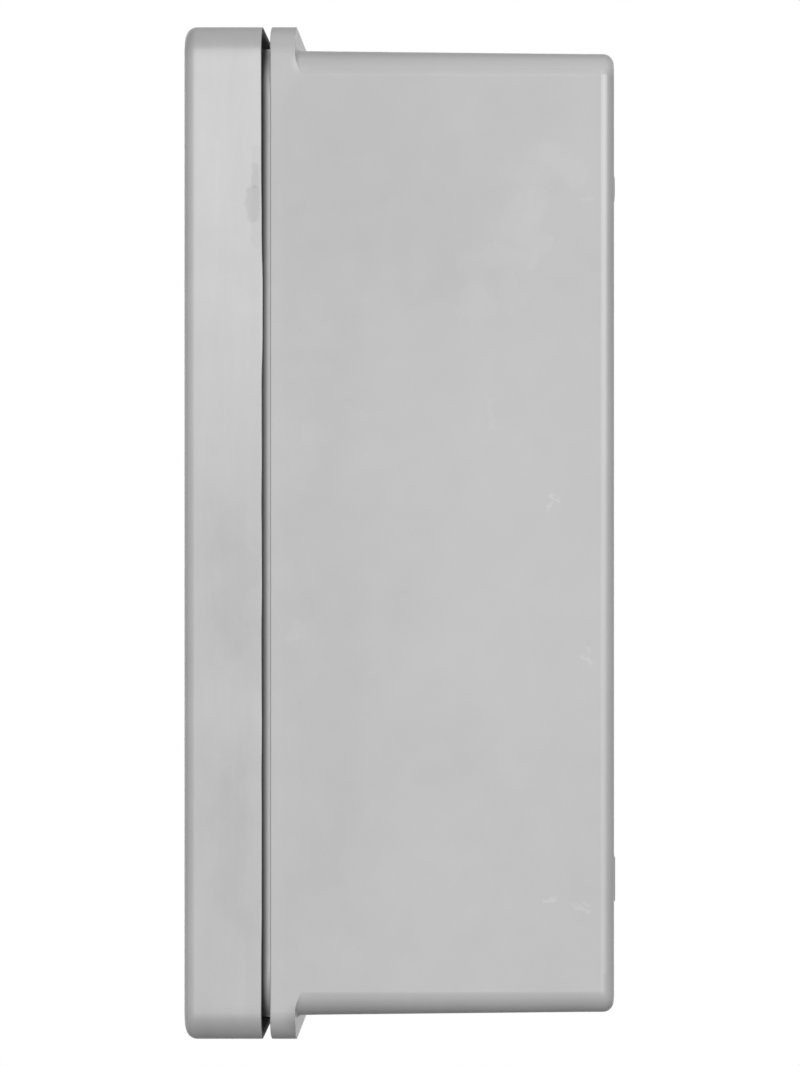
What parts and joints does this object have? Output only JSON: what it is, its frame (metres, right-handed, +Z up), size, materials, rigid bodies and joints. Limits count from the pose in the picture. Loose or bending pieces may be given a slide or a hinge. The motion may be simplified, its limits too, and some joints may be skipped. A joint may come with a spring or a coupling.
{
  "type": "vandal-proof electrical enclosure",
  "caption": "Wall-mounted grey polyester enclosure: deep tub with a lipped front flange and collar, a tray door on concealed hinges, and a recessed key lock with rods.",
  "frame": {"origin": "centre of the wall fixing pattern, in the plane of the rear pads that meet the wall", "axes": "+Z up along the height, +Y into the wall, -Y out of the door's front, X across the width"},
  "size_m": [0.4, 0.2134, 0.5],
  "materials": {
    "shell": "moulded satin",
    "zinc_plate": "zinc plated",
    "fastener": "zinc plated",
    "lock_metal": "satin plated",
    "insert_brass": "machined",
    "seal": "matt foam",
    "guide_nylon": "moulded"
  },
  "bodies": {
    "enclosure": {"body": "shell", "mounting_plate": "zinc_plate", "plate_washers": "fastener", "plate_screws": "fastener", "plate_inserts": "insert_brass", "upper_hinge_bracket": "zinc_plate", "lower_hinge_bracket": "zinc_plate", "upper_hinge_pin": "fastener", "lower_hinge_pin": "fastener", "hinge_clips": "fastener", "hinge_bracket_screws": "fastener", "hinge_bracket_inserts": "insert_brass", "upper_keeper": "zinc_plate", "lower_keeper": "zinc_plate", "side_keeper": "zinc_plate", "keeper_screws": "fastener", "keeper_inserts": "insert_brass"},
    "door": {"door": "shell", "door_gasket": "seal", "upper_hinge_arm": "zinc_plate", "lower_hinge_arm": "zinc_plate", "hinge_arm_screws": "fastener", "hinge_arm_inserts": "insert_brass", "lock_housing": "lock_metal", "lock_seal": "seal", "lock_nut": "lock_metal", "upper_rod_guide": "guide_nylon", "lower_rod_guide": "guide_nylon", "guide_screws": "fastener", "guide_inserts": "insert_brass"},
    "key_rotor": {"lock_rotor": "lock_metal", "lock_cam": "zinc_plate", "rod_clips": "fastener", "cam_washer": "fastener", "cam_screw": "fastener"},
    "upper_rod": {"upper_rod": "zinc_plate"},
    "lower_rod": {"lower_rod": "zinc_plate"}
  },
  "joints": [
    {"name": "door_swing", "type": "hinge", "parent": "enclosure", "child": "door", "pos_m": [-0.185, -0.1525, 0], "axis": [0, 0, -1], "range_deg": [0, 110]},
    {"name": "key_turn", "type": "hinge", "parent": "door", "child": "key_rotor", "pos_m": [0.14, -0.2, 0], "axis": [0, 1, 0], "range_deg": [0, 90]},
    {"name": "upper_rod_slide", "type": "slide", "parent": "door", "child": "upper_rod", "axis": [0, 0, 1], "range_m": [0, 0.02687]},
    {"name": "lower_rod_slide", "type": "slide", "parent": "door", "child": "lower_rod", "axis": [0, 0, -1], "range_m": [0, 0.02688]}
  ],
  "couplings": [
    {"joint": "key_turn", "follows": "upper_rod_slide", "rad_per_m": 58.458},
    {"joint": "lower_rod_slide", "follows": "upper_rod_slide", "ratio": 1}
  ]
}
